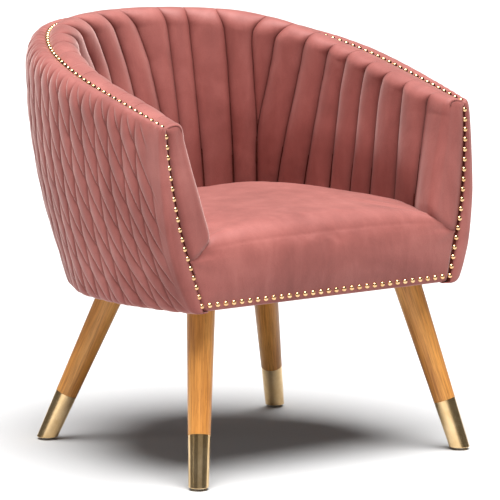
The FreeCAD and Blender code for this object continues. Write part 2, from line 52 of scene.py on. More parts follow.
bpy.context.scene.camera = cam

# ------------------------------------------------------------------ the tub's own surfaces (same driving numbers as the CAD, mm)
Y_SHIFT = -78.17
SHELL_Z = 311.0
RIM_A, RIM_Y0, RIM_B, RIM_N, RIM_YF, RIM_XF = 334.8, -24.8, 432.4, 2.1047, -221.3, 334.6
RIM_Z_KNOTS = [765.7, 760.2, 729.0, 683.6, 634.4]
RIM_Z_SLOPES = [0.0, -37.4, -147.9, -188.9, -204.5]
LEAN = 0.0965
FRONT_TOP_Z = 634.0
SHOULDER_DROP, SHOULDER_RISE = 40.0, 10.0
OUT_TOP = [31, 31, 32, 34, 37, 38.5, 38.5, 36.5, 32.5, 24, 12]
OUT_BASE = [-78, -78, -76, -68, -50, -29, -9, 10, 10, -11, -38]
IN_SEAT = [130, 125, 103, 74, 64, 67, 71, 69, 67, 68, 75]
SEAT_JOIN_Z = [438, 438, 439, 441, 443, 446, 448, 449, 449, 447, 441]
CREST_IN = 48.0
POST = np.array([(634.0, 335.0), (580.0, 333.0), (526.0, 327.5), (490.0, 322.5), (455.0, 316.5),
                 (420.0, 308.0), (386.0, 297.5), (349.0, 287.0), (323.0, 280.0), (311.0, 277.0)])[::-1]


def smooth(v):
    v = np.clip(v, 0.0, 1.0)
    return v * v * (3.0 - 2.0 * v)


def knots(vals, s):
    """Monotone cubic through equally spaced values on 0..1."""
    s = np.clip(np.abs(s), 0.0, 1.0)
    vals = np.array(vals, float)
    n = len(vals) - 1
    h = 1.0 / n
    d = np.diff(vals) / h
    m = [0.0] + [0.0 if d[i - 1] * d[i] <= 0 else 2 * d[i - 1] * d[i] / (d[i - 1] + d[i]) for i in range(1, n)] + [d[-1]]
    m = np.array(m)
    i = np.minimum((s / h).astype(int), n - 1)
    t = (s - i * h) / h
    return ((2 * t**3 - 3 * t**2 + 1) * vals[i] + (t**3 - 2 * t**2 + t) * h * m[i]
            + (-2 * t**3 + 3 * t**2) * vals[i + 1] + (t**3 - t**2) * h * m[i + 1])


def rim_z(s):
    s = np.clip(np.abs(s), 0.0, 1.0)
    v, m, h = np.array(RIM_Z_KNOTS), np.array(RIM_Z_SLOPES), 0.25
    i = np.minimum((s / h).astype(int), 3)
    t = (s - i * h) / h
    return ((2 * t**3 - 3 * t**2 + 1) * v[i] + (t**3 - 2 * t**2 + t) * h * m[i]
            + (-2 * t**3 + 3 * t**2) * v[i + 1] + (t**3 - t**2) * h * m[i + 1])


_ph = 0.5 * np.pi * np.arange(3001) / 3000
_k = (RIM_A - RIM_XF) / (RIM_Y0 - RIM_YF) ** 2
_yy = RIM_Y0 + (RIM_YF - RIM_Y0) * np.arange(1, 601) / 600
RIM_X = np.concatenate([RIM_A * np.sin(_ph) ** (2 / RIM_N), RIM_A - _k * (RIM_Y0 - _yy) ** 2])
RIM_Y = np.concatenate([RIM_Y0 + RIM_B * np.maximum(np.cos(_ph), 0.0) ** (2 / RIM_N), _yy])
RIM_ACC = np.concatenate([[0.0], np.cumsum(np.hypot(np.diff(RIM_X), np.diff(RIM_Y)))])
RIM_LEN = RIM_ACC[-1]


def rim_xy(s):
    d = np.clip(np.abs(s), 0.0, 1.0) * RIM_LEN
    return np.interp(d, RIM_ACC, RIM_X), np.interp(d, RIM_ACC, RIM_Y)


def rim_normal(s):
    a = np.abs(s)
    e = 0.012
    x0, y0 = rim_xy(np.abs(a - e))
    x0 = np.where(a < e, -x0, x0)
    x1, y1 = rim_xy(np.minimum(a + e, 1.0))
    tx, ty = x1 - x0, y1 - y0
    n = np.hypot(tx, ty)
    return -ty / n, tx / n


def at(s, off, z):
    """Point of the tub in metres; off = outward distance from the nail line, in plan."""
    s, off, z = np.broadcast_arrays(np.asarray(s, float), np.asarray(off, float), np.asarray(z, float))
    x, y = rim_xy(s)
    nx, ny = rim_normal(s)
    w = smooth((np.abs(s) - 0.55) / 0.45) * LEAN
    sg = np.where(s < 0, -1.0, 1.0)
    return np.stack([sg * (x + nx * off), y + ny * off - w * (rim_z(s) - z) + Y_SHIFT, z], -1) * 0.001


def out_off(s, z):
    top, base = knots(OUT_TOP, s), knots(OUT_BASE, s)
    p = 2.1 + 1.1 * smooth((np.abs(s) - 0.8) / 0.2)
    t = np.clip((z - SHELL_Z) / (rim_z(s) - SHOULDER_DROP - SHELL_Z), 0.0, 1.0)
    return top - (top - base) * (1 - t) ** p


# inner face of the arm at its front end (z, half width): it closes in a little towards the seat
ARM_END = np.array([(420.0, 246.0), (452.0, 249.0), (480.0, 256.5), (520.0, 266.0), (560.0, 277.0), (595.0, 286.5), (614.0, 291.5)])


def in_off(s, z):
    """Inside wall below the top roll (negative: inward), before the channels are raised."""
    zc = rim_z(s) - 20.0
    f = np.clip((zc - z) / (zc - 440.0), 0.0, 1.0)
    o = -(CREST_IN + (knots(IN_SEAT, s) - CREST_IN) * f)
    w = smooth((np.abs(s) - 0.85) / 0.15)
    return o * (1 - w) + (np.interp(z, ARM_END[:, 0], ARM_END[:, 1]) - RIM_XF) * w


def post_x(z):
    return np.interp(z, POST[:, 0], POST[:, 1])


def front_y(z):
    return RIM_YF - LEAN * (FRONT_TOP_Z - z) + Y_SHIFT


def catmull(P, t):
    """P (..., n, k) control points, t array of parameters 0..n-1 -> (..., len(t), k)."""
    n = P.shape[-2]
    i = np.minimum(np.floor(t).astype(int), n - 2)
    f = (t - i)[:, None]
    p0, p1 = P[..., np.maximum(i - 1, 0), :], P[..., i, :]
    p2, p3 = P[..., i + 1, :], P[..., np.minimum(i + 2, n - 1), :]
    return 0.5 * (2 * p1 + (p2 - p0) * f + (2 * p0 - 5 * p1 + 4 * p2 - p3) * f**2 + (3 * p1 - p0 - 3 * p2 + p3) * f**3)


def hash2(a, b, seed=0.0):
    v = np.sin(a * 127.1 + b * 311.7 + seed * 74.7) * 43758.5453
    return v - np.floor(v)


def vnoise(x, y, seed=0.0):
    """Smooth value noise, -1..1."""
    xi, yi = np.floor(x), np.floor(y)
    fx, fy = smooth(x - xi), smooth(y - yi)
    a, b = hash2(xi, yi, seed), hash2(xi + 1, yi, seed)
    c, d = hash2(xi, yi + 1, seed), hash2(xi + 1, yi + 1, seed)
    return 2 * ((a * (1 - fx) + b * fx) * (1 - fy) + (c * (1 - fx) + d * fx) * fy) - 1


# ------------------------------------------------------------------ mesh helpers
def grid_normals(P):
    du = np.gradient(P, axis=0)
    dv = np.gradient(P, axis=1)
    n = np.cross(du, dv)
    ln = np.linalg.norm(n, axis=-1, keepdims=True)
    return n / np.maximum(ln, 1e-12)


def grid_object(name, P, thick=0.0, flip=False, painted_crease_shade=None):
    """Mesh object from a grid of points (columns, rows, 3); thick > 0 closes it into a thin shell behind its face."""
    nu, nv = P.shape[:2]
    idx = np.arange(nu * nv).reshape(nu, nv)
    a, b, c, d = idx[:-1, :-1], idx[1:, :-1], idx[1:, 1:], idx[:-1, 1:]
    faces = np.stack([a, b, c, d] if not flip else [a, d, c, b], -1).reshape(-1, 4)
    V = P.reshape(-1, 3)
    if thick > 0:
        N = grid_normals(P).reshape(-1, 3) * (-1.0 if flip else 1.0)
        n0 = len(V)
        V = np.concatenate([V, V - N * thick])
        ring = np.concatenate([idx[:, 0], idx[-1, 1:], idx[-2::-1, -1], idx[0, -2:0:-1]])
        nxt = np.roll(ring, -1)
        side = np.stack([ring, ring + n0, nxt + n0, nxt] if not flip else [nxt, nxt + n0, ring + n0, ring], -1)
        faces = np.concatenate([faces, faces[:, ::-1] + n0, side])
    me = bpy.data.meshes.new(name)
    me.from_pydata(V.tolist(), [], faces.tolist())
    me.validate()
    # painted_crease_shade: painted shade for seams, pleat lines and nail-line valleys, kept as a point attribute that
    # the velvet reads
    if painted_crease_shade is not None:
        c = np.clip(painted_crease_shade, 0, 1).reshape(-1)
        c = np.concatenate([c, c]) if thick > 0 else c
        me.attributes.new("painted_crease_shade", "FLOAT", "POINT").data.foreach_set("value", c.astype(np.float32))
        loops = np.empty(len(me.loops), np.int32)
        me.loops.foreach_get("vertex_index", loops)
        if len(loops) == 4 * len(me.polygons):
            # faces deep in the painted crease shade get the near-black seam material, which is also painted shade
            deep_painted_shade = c[loops.reshape(-1, 4)].mean(1) > 0.70
            me.materials.append(VELVET)
            me.materials.append(SEAM_SHADE_MAT)
            me.polygons.foreach_set("material_index", deep_painted_shade.astype(np.int32))
    me.shade_smooth()
    ob = bpy.data.objects.new(name, me)
    bpy.context.scene.collection.objects.link(ob)
    return ob


# ------------------------------------------------------------------ inner cover: sewn channels, rolled rim, plain arm fronts
ROLL = np.array([(1.0, -2.5), (-3.5, 0.3), (-9.0, 6.6), (-16.5, 11.0), (-24.0, 12.0), (-33.0, 9.0), (-41.0, 1.5), (-46.0, -9.0)])
ROLL_ARM = np.array([(1.0, -2.5), (-4.0, -0.4), (-10.5, 2.3), (-19.0, 4.3), (-28.5, 5.0), (-37.5, 3.2), (-44.5, -1.8), (-48.5, -10.5)])
ROLL_END = np.array([(0.0, -2.5), (-3.8, -0.4), (-10.0, 2.2), (-17.5, 4.2), (-26.0, 4.5), (-33.5, 2.4), (-38.5, -2.6), (-41.3, -11.0)])
Z_LOW = 427.0
# channel seams: station at v = 0, 0.6, 1.0, 1.2, 1.6, 2.0 (v 0..1 over the roll, 1..2 down the wall)
SEAM_V = [0.0, 0.6, 1.0, 1.2, 1.6, 2.0]
SEAMS = [
    (-.958, -.945, -.930, -.925, -.920, -.914), (-.872, -.862, -.850, -.844, -.838, -.834),
    (-.808, -.796, -.775, -.763, -.756, -.750), (-.740, -.728, -.708, -.697, -.688, -.680),
    (-.663, -.652, -.638, -.626, -.617, -.610), (-.606, -.594, -.575, -.562, -.540, -.520),
    (-.530, -.517, -.500, -.486, -.458, -.435), (-.462, -.450, -.425, -.400, -.372, -.352),
    (-.395, -.385, -.330, -.290, -.262, -.245), (-.320, -.305, -.240, -.190, -.166, -.155),
    (-.215, -.200, -.153, -.124, -.104, -.090), (-.115, -.103, -.066, -.045, -.022, -.008),
    (-.035, -.022, .012, .038, .062, .078), (.083, .093, .108, .114, .125, .135),
    (.156, .163, .172, .180, .196, .210), (.236, .248, .270, .281, .295, .305),
    (.382, .375, .350, .354, .368, .370), (.458, .447, .415, .401, .3705, .3725),
    (.530, .517, .500, .486, .455, .430), (.606, .594, .575, .562, .540, .520),
    (.663, .652, .638, .626, .617, .610), (.740, .728, .708, .697, .688, .680),
    (.808, .796, .775, .763, .756, .750), (.872, .862, .850, .844, .838, .834),
    (.958, .945, .930, .925, .920, .914)]


def seam_at(k, v):
    c = np.array(SEAMS[k])
    t = np.interp(v, SEAM_V, np.arange(len(SEAM_V)))
    return catmull(c[:, None], t)[:, 0]


def wall_points(S, V):
    """Inside surface without channels. S (nu, nv) stations, V (nv,) rows."""
    s = S
    zn = rim_z(s)
    w = smooth((np.abs(s) - 0.85) / 0.15)[..., None, None]
    wa = smooth((np.abs(s) - 0.40) / 0.22)[..., None, None]
    ctrl = (ROLL * (1 - wa) + ROLL_ARM * wa) * (1 - w) + ROLL_END * w                          # (nu, nv, 8, 2)
    z8 = zn - 21.0
    end = np.stack([in_off(s, z8), np.full_like(s, -21.0)], -1)[..., None, :]
    end2 = np.stack([in_off(s, z8 - 12.0), np.full_like(s, -33.0)], -1)[..., None, :]
    ctrl = np.concatenate([ctrl, end, end2], -2)
    t = np.clip(V, 0, 1) * 8.0
    i = np.minimum(np.floor(t).astype(int), 7)
    f = (t - i)[None, :, None]
    J = np.arange(len(V))
    g = lambda k: ctrl[:, J, np.clip(k, 0, 9), :]
    p0, p1, p2, p3 = g(i - 1), g(i), g(i + 1), g(i + 2)
    r = 0.5 * (2 * p1 + (p2 - p0) * f + (2 * p0 - 5 * p1 + 4 * p2 - p3) * f**2 + (3 * p1 - p0 - 3 * p2 + p3) * f**3)
    zw = z8 + (V - 1.0)[None, :] * (Z_LOW - z8)
    ow = in_off(s, zw)
    on_wall = (V > 1.0)[None, :]
    off = np.where(on_wall, ow, r[..., 0])
    z = np.where(on_wall, zw, zn + r[..., 1])
    return at(s, off, z), off, z


def arm_round(z):
    return np.interp(z, [430, 520, 590, 625, 650], [13.0, 14.0, 13.0, 10.0, 8.0])


def build_inner():
    V = np.concatenate([np.linspace(0, 1, 34), np.linspace(1, 2, 74)[1:]])
    lin = np.array([0, .014, .030, .055, .095, .15, .225, .31, .405, .5, .595, .69, .775, .85, .905, .945, .970, .986])
    m = len(lin)
    cols, cpar, width_s, kind = [], [], [], []
    seams = [seam_at(k, V) for k in range(len(SEAMS))]
    s_end = 1.0 - 16.0 / RIM_LEN
    # left end panel, channels, right end panel
    edge_n = 12
    lin_e = (np.arange(edge_n) / edge_n) ** 1.6
    left = [-s_end + 0 * V + (seams[0] + s_end) * (1 - (1 - j / edge_n) ** 1.6) for j in range(edge_n)]
    for j in range(edge_n):
        cols.append(left[j]); cpar.append(1 - 0.5 * (1 - (1 - j / edge_n) ** 1.6)); kind.append(-1)
        width_s.append(np.full_like(V, 0.075))
    for k in range(len(seams) - 1):
        a, b = seams[k], seams[k + 1]
        for j in range(m):
            cols.append(a + (b - a) * lin[j]); cpar.append(lin[j]); kind.append(k)
            width_s.append(b - a)
    for j in range(edge_n + 1):
        f = (j / edge_n) ** 1.6
        cols.append(seams[-1] + (s_end - seams[-1]) * f); cpar.append(0.5 * f); kind.append(-2)
        width_s.append(np.full_like(V, 0.075))
    S = np.array(cols)
    P, off, z = wall_points(S, V)
    N = grid_normals(P)
    # physical width of each channel at each row, for the height of its bulge
    c = np.array(cpar)[:, None]
    ends = np.array([k < 0 for k in kind])[:, None]
    Wd = np.array(width_s) * RIM_LEN * (1 - np.clip(-off, 0, 140) / 330.0 * (np.abs(S) < 0.62))
    H = np.clip(0.215 * Wd, 0.0, 12.0)
    # each panel is fuller on the side that laps over its neighbour
    mid = np.array([0.5 * (seams[k][0] + seams[k + 1][0]) if k >= 0 else 0.0 for k in kind])
    lap = np.where((mid > 0.37) | ((mid < 0) & (mid > -0.38)), 1.0, -1.0)[:, None]
    g = 0.86
    cs = np.where(lap > 0, c ** g, 1 - (1 - c) ** g)
    cs = np.where(ends, c, cs)
    shape = (1 - np.abs(2 * cs - 1) ** 2.1) ** 0.78
    groove = np.exp(-(np.minimum(c, 1 - c) * Wd / 1.0) ** 2)
    # painted shade along each seam line
    seam_painted_shade = np.exp(-(np.minimum(c, 1 - c) * Wd / 2.3) ** 2)
    off_seam = ends & (np.array(cpar)[:, None] > 0.45) & (np.array(cpar)[:, None] < 0.55)
    groove = np.where(off_seam, 0, groove)
    seam_painted_shade = np.where(off_seam, 0, seam_painted_shade)
    v0 = 0.40 + 0.24 * smooth((np.abs(S) - 0.40) / 0.22)      # on the arms the channels fade out before the broad roll
    amp = 0.03 + 0.97 * smooth((V[None, :] - v0) / (1.02 - v0))
    amp = amp * (1 - 0.20 * smooth((V - 1.75) / 0.25))[None, :]
    gr = amp ** 0.6 * np.clip(Wd / 34.0, 0.25, 1.0)
    bulge = amp * (H * shape - 3.2) - 4.6 * gr * groove
    # end panels: raised from the seam, then level
    flat = (1 - (1 - np.clip(2 * np.where(c > 0.5, 1 - c, c), 0, 1)) ** 3) ** 0.62
    lvl = np.where(ends, amp * (6.0 * flat - 3.2) - 4.6 * gr * groove, bulge)
    fade_end = smooth((1.0 - np.abs(S)) * RIM_LEN / 60.0)
    lvl = np.where(ends, lvl * fade_end + 0.6 * (1 - fade_end), lvl)
    # slight unevenness of hand-pulled fabric
    arc = S * RIM_LEN
    lvl = lvl + amp * (0.55 * vnoise(arc / 37.0, z / 60.0, 1.0) + 0.28 * vnoise(arc / 13.0, z / 31.0, 2.0))
    # short puckers running up from the nail line
    near = np.exp(-((V - 0.10) / 0.16) ** 2)[None, :]
    lvl = lvl + near * (0.55 * np.cos(2 * np.pi * arc / 18.15) - 0.1)
    P = P - N * lvl[..., None] * 0.001 * NSIGN_IN
    # tone is painted shade: a wider softer band beside each seam, darkening along the nail line at the top, and darker
    # towards the bottom of the wall where it meets the seat
    seam_painted_shade_wide = 0.34 * np.exp(-(np.minimum(c, 1 - c) * Wd / 6.5) ** 2) * ~off_seam
    tone = np.maximum(seam_painted_shade, seam_painted_shade_wide) * np.clip(amp * 1.4, 0, 1) + 0.55 * np.exp(-(V / 0.10) ** 2)[None, :] + 0.34 * smooth((V - 1.35) / 0.5)[None, :] * ~ends
    # arm fronts: the fabric turns the corner and runs to the nail line
    ends_P = []
    for sg, col in ((-1, 0), (1, -1)):
        zr = z[col]
        p_s = S[col]
        xz = np.stack([np.abs(P[col][:, 0]) * 1000, P[col][:, 2] * 1000], -1)
        base_y = P[col][:, 1] * 1000
        # target points on the nail line
        t_roll = np.clip(V, 0, 1)
        z_join = float(np.interp(1.0, V, zr))
        zN = np.where(V <= 1, 632.5 - (632.5 - z_join) * t_roll, zr)
        low = smooth((530.0 - zr) / 85.0)
        zN = np.where(V > 1, zr - 42.0 * low - 6.0 * (zr < 446) * (446 - zr) / 12.0, zN)
        xN = post_x(zN) - 1.6
        d = np.stack([xN - xz[:, 0], zN - xz[:, 1]], -1)
        D = np.linalg.norm(d, axis=-1)
        d = d / np.maximum(D, 1e-6)[:, None]
        r = np.minimum(arm_round(zr), 0.42 * D)
        fy = front_y(xz[:, 1])
        run = base_y - fy                       # distance of the last wall column behind the front plane
        rows = []
        for th in np.linspace(0, np.pi / 2, 11)[1:]:
            w = run * (1 - np.sin(th))
            k = r * (1 - np.cos(th))
            x, zz = xz[:, 0] + d[:, 0] * k, xz[:, 1] + d[:, 1] * k
            zs = np.interp(x, [246, 263, 281, 299, 306], [447, 427, 411, 402, 396])
            hide = 2.4 * smooth((zs + 7 - zz) / 11.0) + 7.0 * smooth((zs - 1 - zz) / 7.0)
            rows.append(np.stack([sg * x, front_y(zz) + w + hide * np.sin(th), zz], -1))
        for t in np.linspace(0, 1, 15)[1:]:
            k = r + (D - r) * t
            x, zz = xz[:, 0] + d[:, 0] * k, xz[:, 1] + d[:, 1] * k
            # follow the curved crease at the bottom of the arm front
            sag = 7.0 * np.sin(np.pi * np.clip(k / np.maximum(D, 1), 0, 1)) * smooth((500 - zr) / 60.0)
            zz = zz - sag
            crown = (2.4 * smooth(t / 0.6) - 4.0 * smooth((t - 0.70) / 0.30)) * np.clip(D / 40.0, 0, 1) - 0.6 * t
            zs = np.interp(x, [246, 263, 281, 299, 306], [447, 427, 411, 402, 396])
            under = smooth((zs + 7 - zz) / 11.0)
            crown = crown * (1 - under) - 2.4 * under - 7.0 * smooth((zs - 1 - zz) / 7.0) * (zz > 400)
            rows.append(np.stack([sg * x, front_y(zz) - crown, zz], -1))
        for k, back in ((1.4, 1.2), (2.4, 4.5), (2.6, 9.0)):
            x, zz = xz[:, 0] + d[:, 0] * (D + k), xz[:, 1] + d[:, 1] * (D + k)
            rows.append(np.stack([sg * x, front_y(zz) + back, zz], -1))
        rows = np.array(rows) * 0.001
        # folded lap where the roll's cloth turns down over the arm front
        fold = smooth((V - 0.06) / 0.08) * (1 - smooth((V - 0.74) / 0.16))
        rows[8, :, 1] += 0.0024 * fold
        rows[8, :, 2] -= 0.0006 * fold
        rows[7, :, 1] -= 0.0008 * fold
        rows[9, :, 2] -= 0.0006 * fold
        ends_P.append(rows)
    n_end = len(ends_P[0])
    # painted shade on the arm fronts: darkening into the valley along the nail line, and along the folded lap
    painted_shade_end = np.zeros((n_end, len(V)))
    painted_shade_end[-8:] = np.array([0.05, 0.15, 0.35, 0.6, 0.9, 1, 1, 1])[:, None]
    painted_shade_end[8] = 0.95 * fold
    painted_shade_end[9] = 0.35 * fold
    P = np.concatenate([ends_P[0][::-1], P, ends_P[1]], 0)
    return P, np.concatenate([painted_shade_end[::-1], tone, painted_shade_end], 0)


NSIGN_IN = 1.0

# ------------------------------------------------------------------ outer cover: diamond pleats, rounded shoulder, plain front strip
PITCH = 36.0


def pleats(p, q):
    """Relief of the pleated outside in mm, and painted shade along the pleat lines. p = distance from the back centre
    along the rim, q = distance down, mm.
    """
    sh = smooth(np.abs(p) / 300.0)
    P_, Q_ = np.abs(p) / 1000.0, q / 1000.0
    kap = 0.30
    # both families lean forward on the sides and fan out evenly from the back centre
    x = P_ / 0.45
    w = np.where(x < 0.8, x, np.where(x < 1.2, x - (x - 0.8) ** 2 / 0.8, 1.0))
    pD = kap * Q_ + w * ((0.50 * Q_ + 0.5625 * Q_**2) - kap * Q_)
    pV = -kap * Q_ + w * ((-0.05 * Q_ + 0.375 * Q_**2) + kap * Q_)
    phase = 0.5 - 0.15 * w
    a = (P_ - pD) * 1000.0 / PITCH + phase
    b = (P_ - pV) * 1000.0 / PITCH + phase
    fa, fb = a - np.floor(a), b - np.floor(b)
    puff = (np.sin(np.pi * fa) * np.sin(np.pi * fb)) ** 0.5
    # the cloth laps over along the forward-running lines: full near the line, low just behind it
    edge = smooth(fa / 0.13)
    saw = (1 - fa) ** 1.15 * (0.35 + 0.65 * fb)
    saw = saw * edge + (1 - edge) * 0.0
    vee = np.minimum(fb, 1 - fb)
    line_v = np.exp(-(vee * PITCH / 2.2) ** 2)
    line_d = np.exp(-((1 - fa) * PITCH / 2.4) ** 2)
    h = 3.6 * puff + 3.9 * saw * (0.45 + 0.55 * sh) - 0.8 * line_v - 0.9 * line_d * (0.5 + 0.5 * sh)
    # the second value is painted shade along the pleat lines
    return h, 0.40 * line_v + 0.50 * line_d


def build_outer():
    ncol = 760
    s_end = 1.0 - 6.0 / RIM_LEN
    s = np.linspace(-s_end, s_end, ncol)
    zn = rim_z(s)
    top = knots(OUT_TOP, s)
    cols_off, cols_dz, tag = [], [], []
    # tucked edge under the nails
    for o, dz in ((-3.0, -6.0), (-1.0, -3.0)):
        cols_off.append(np.full_like(s, o)); cols_dz.append(zn + dz); tag.append(0.0)
    for a in np.linspace(0, np.pi / 2, 26):
        cols_off.append(1.5 + (top - 1.5) * np.sin(a))
        cols_dz.append(zn - 1.2 - (SHOULDER_DROP - 1.2) * (1 - np.cos(a)) + SHOULDER_RISE * np.sin(2 * a))
        tag.append(1.0)
    nz = 130
    rb = 10.0
    for i in range(1, nz + 1):
        f = i / nz
        f = f if f < 0.9 else f
        zz = (zn - SHOULDER_DROP) + (SHELL_Z + 0.3 - (zn - SHOULDER_DROP)) * f
        u = np.clip((SHELL_Z + rb - zz) / rb, 0, 1)
        cols_off.append(out_off(s, zz) - rb * (1 - np.sqrt(np.maximum(1 - u * u, 0))) * 0.9)
        cols_dz.append(zz); tag.append(2.0)
    ob = out_off(s, np.full_like(s, SHELL_Z)) - 0.9 * rb
    for k in (3.0, 8.0, 16.0, 26.0):
        cols_off.append(ob - k); cols_dz.append(np.full_like(s, SHELL_Z + (0.0 if k < 20 else 0.5))); tag.append(3.0)
    O, Z = np.array(cols_off).T, np.array(cols_dz).T
    S = np.repeat(s[:, None], O.shape[1], 1)
    P = at(S, O, Z)
    N = grid_normals(P)
    q = np.concatenate([np.zeros((ncol, 1)), np.cumsum(np.linalg.norm(np.diff(P, axis=1), axis=-1), 1)], 1) * 1000.0
    q = q - q[:, 2:3]
    p = S * RIM_LEN
    h, tone = pleats(p, q)
    win = smooth((q - 15.0) / 26.0)
    qb = q[:, 27 + nz:28 + nz] - q
    win = win * (0.25 + 0.75 * smooth(qb / 16.0)) * (qb > -3)
    strip = 6.0 + 28.0 * (1 - smooth((q - 50.0) / 150.0))
    win = win * smooth(((1.0 - np.abs(S)) * RIM_LEN - strip - 6.0 * vnoise(q / 45.0, S * 0, 3.0)) / 26.0)
    T = np.array(tag)[None, :]
    h = np.where(T >= 3.0, 0.0, h)
    # painted shade in the valley along the nail line
    tone = tone * win + 0.6 * np.exp(-(q / 3.5) ** 2)
    lift = h * win - 3.0 * win
    lift = lift + (0.5 * vnoise(p / 40.0, q / 55.0, 5.0) + 0.22 * vnoise(p / 12.0, q / 17.0, 6.0)) * smooth(q / 12.0) * (T < 3)
    near = np.exp(-((q - 7.0) / 9.0) ** 2) * (T < 3)
    lift = lift + near * (0.5 * np.cos(2 * np.pi * p / 18.15))
    P = P + N * lift[..., None] * 0.001 * NSIGN_OUT
    ends_P = []
    for sg, col in ((-1, 0), (1, -1)):
        zr = Z[col]
        xz = np.stack([np.abs(P[col][:, 0]) * 1000, P[col][:, 2] * 1000], -1)
        base_y = P[col][:, 1] * 1000
        j = np.arange(len(zr))
        zN = np.where(j < 28, 633.0 - (633.0 - zr[27]) * np.clip((j - 2) / 25.0, 0, 1), zr)
        xN = post_x(zN) + 1.0
        dN = np.stack([xN - xz[:, 0], zN - xz[:, 1]], -1)
        D = np.linalg.norm(dN, axis=-1)
        d = dN / np.maximum(D, 1e-6)[:, None]
        r = np.minimum(5.0, 0.4 * D)
        run = base_y - front_y(xz[:, 1])
        rows = []
        for th in np.linspace(0, np.pi / 2, 7)[1:]:
            w = run * (1 - np.sin(th))
            k = r * (1 - np.cos(th))
            x, zz = xz[:, 0] + d[:, 0] * k, xz[:, 1] + d[:, 1] * k
            rows.append(np.stack([sg * x, front_y(zz) + w, zz], -1))
        for t in np.linspace(0, 1, 7)[1:]:
            k = r + (D - r) * t
            x, zz = xz[:, 0] + d[:, 0] * k, xz[:, 1] + d[:, 1] * k
            crown = 1.6 * np.sin(np.pi * np.clip(0.1 + 0.85 * t, 0, 1)) * np.clip(D / 15.0, 0, 1)
            rows.append(np.stack([sg * x, front_y(zz) - crown, zz], -1))
        for k, back in ((1.6, 1.4), (2.6, 5.0), (2.8, 9.0)):
            x, zz = xz[:, 0] + d[:, 0] * (D + k), xz[:, 1] + d[:, 1] * (D + k)
            rows.append(np.stack([sg * x, front_y(zz) + back, zz], -1))
        ends_P.append(np.array(rows) * 0.001)
    painted_shade_end = np.zeros((len(ends_P[0]), P.shape[1]))
    # painted shade where the front strip tucks in behind the nails
    painted_shade_end[-4:] = np.array([0.5, 1, 1, 1])[:, None]
    P = np.concatenate([ends_P[0][::-1], P, ends_P[1]], 0)
    return P, np.concatenate([painted_shade_end[::-1], tone, painted_shade_end], 0)


NSIGN_OUT = 1.0

# ------------------------------------------------------------------ seat: one tight cover, crowned top, waterfall, front down to the nails
RIDGE_R = 24.0


def seat_outline(s):
    z = knots(SEAT_JOIN_Z, s)
    return at(s, in_off(s, np.full_like(s, 445.0)) + 8.0, z) * 1000.0


